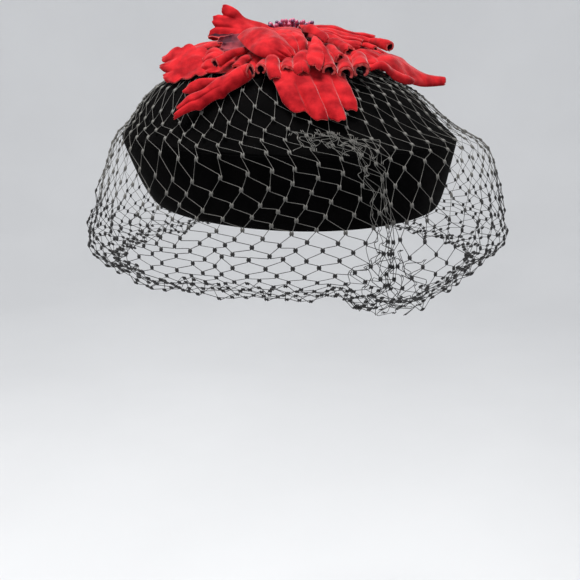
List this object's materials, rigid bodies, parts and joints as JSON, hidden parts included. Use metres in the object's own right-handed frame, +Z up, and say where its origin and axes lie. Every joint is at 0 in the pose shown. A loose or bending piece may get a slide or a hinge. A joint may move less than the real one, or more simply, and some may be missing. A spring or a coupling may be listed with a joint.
{
  "type": "velvet cocktail hat with a net veil and a velvet flower",
  "caption": "Wide round hat with a flared velvet band, a domed velvet top, a large lobed velvet flower on it and a coarse net veil hanging past the rim.",
  "frame": {"origin": "middle of the head opening, on the plane of the rim's lowest points", "axes": "+Z up through the crown, -Y towards the front, +X towards the wearer's left"},
  "size_m": [0.2419, 0.2407, 0.1489],
  "materials": {
    "black_velvet": "deep matt pile with a faint sheen",
    "black_net": "fine twisted thread with a slight shine",
    "red_velvet": "short pressed pile, paler at the cut edges",
    "stamen_pink": "waxed thread ends, pink and plum"
  },
  "bodies": {
    "root": {"crown_top": "black_velvet", "side_band": "black_velvet", "veil_top": "black_net", "veil_skirt": "black_net", "petal_front": "red_velvet", "petal_front_left": "red_velvet", "petal_left": "red_velvet", "petal_right": "red_velvet", "petal_back_left": "red_velvet", "petal_back_right": "red_velvet", "petal_back": "red_velvet", "middle_petal_front_left": "red_velvet", "middle_petal_front_right": "red_velvet", "middle_petal_left": "red_velvet", "middle_petal_right": "red_velvet", "middle_petal_back": "red_velvet", "top_petal_left": "red_velvet", "top_petal_front": "red_velvet", "top_petal_point": "red_velvet", "top_petal_right": "red_velvet", "top_petal_back": "red_velvet", "flower_hub": "red_velvet", "stamens": "stamen_pink"}
  },
  "joints": []
}
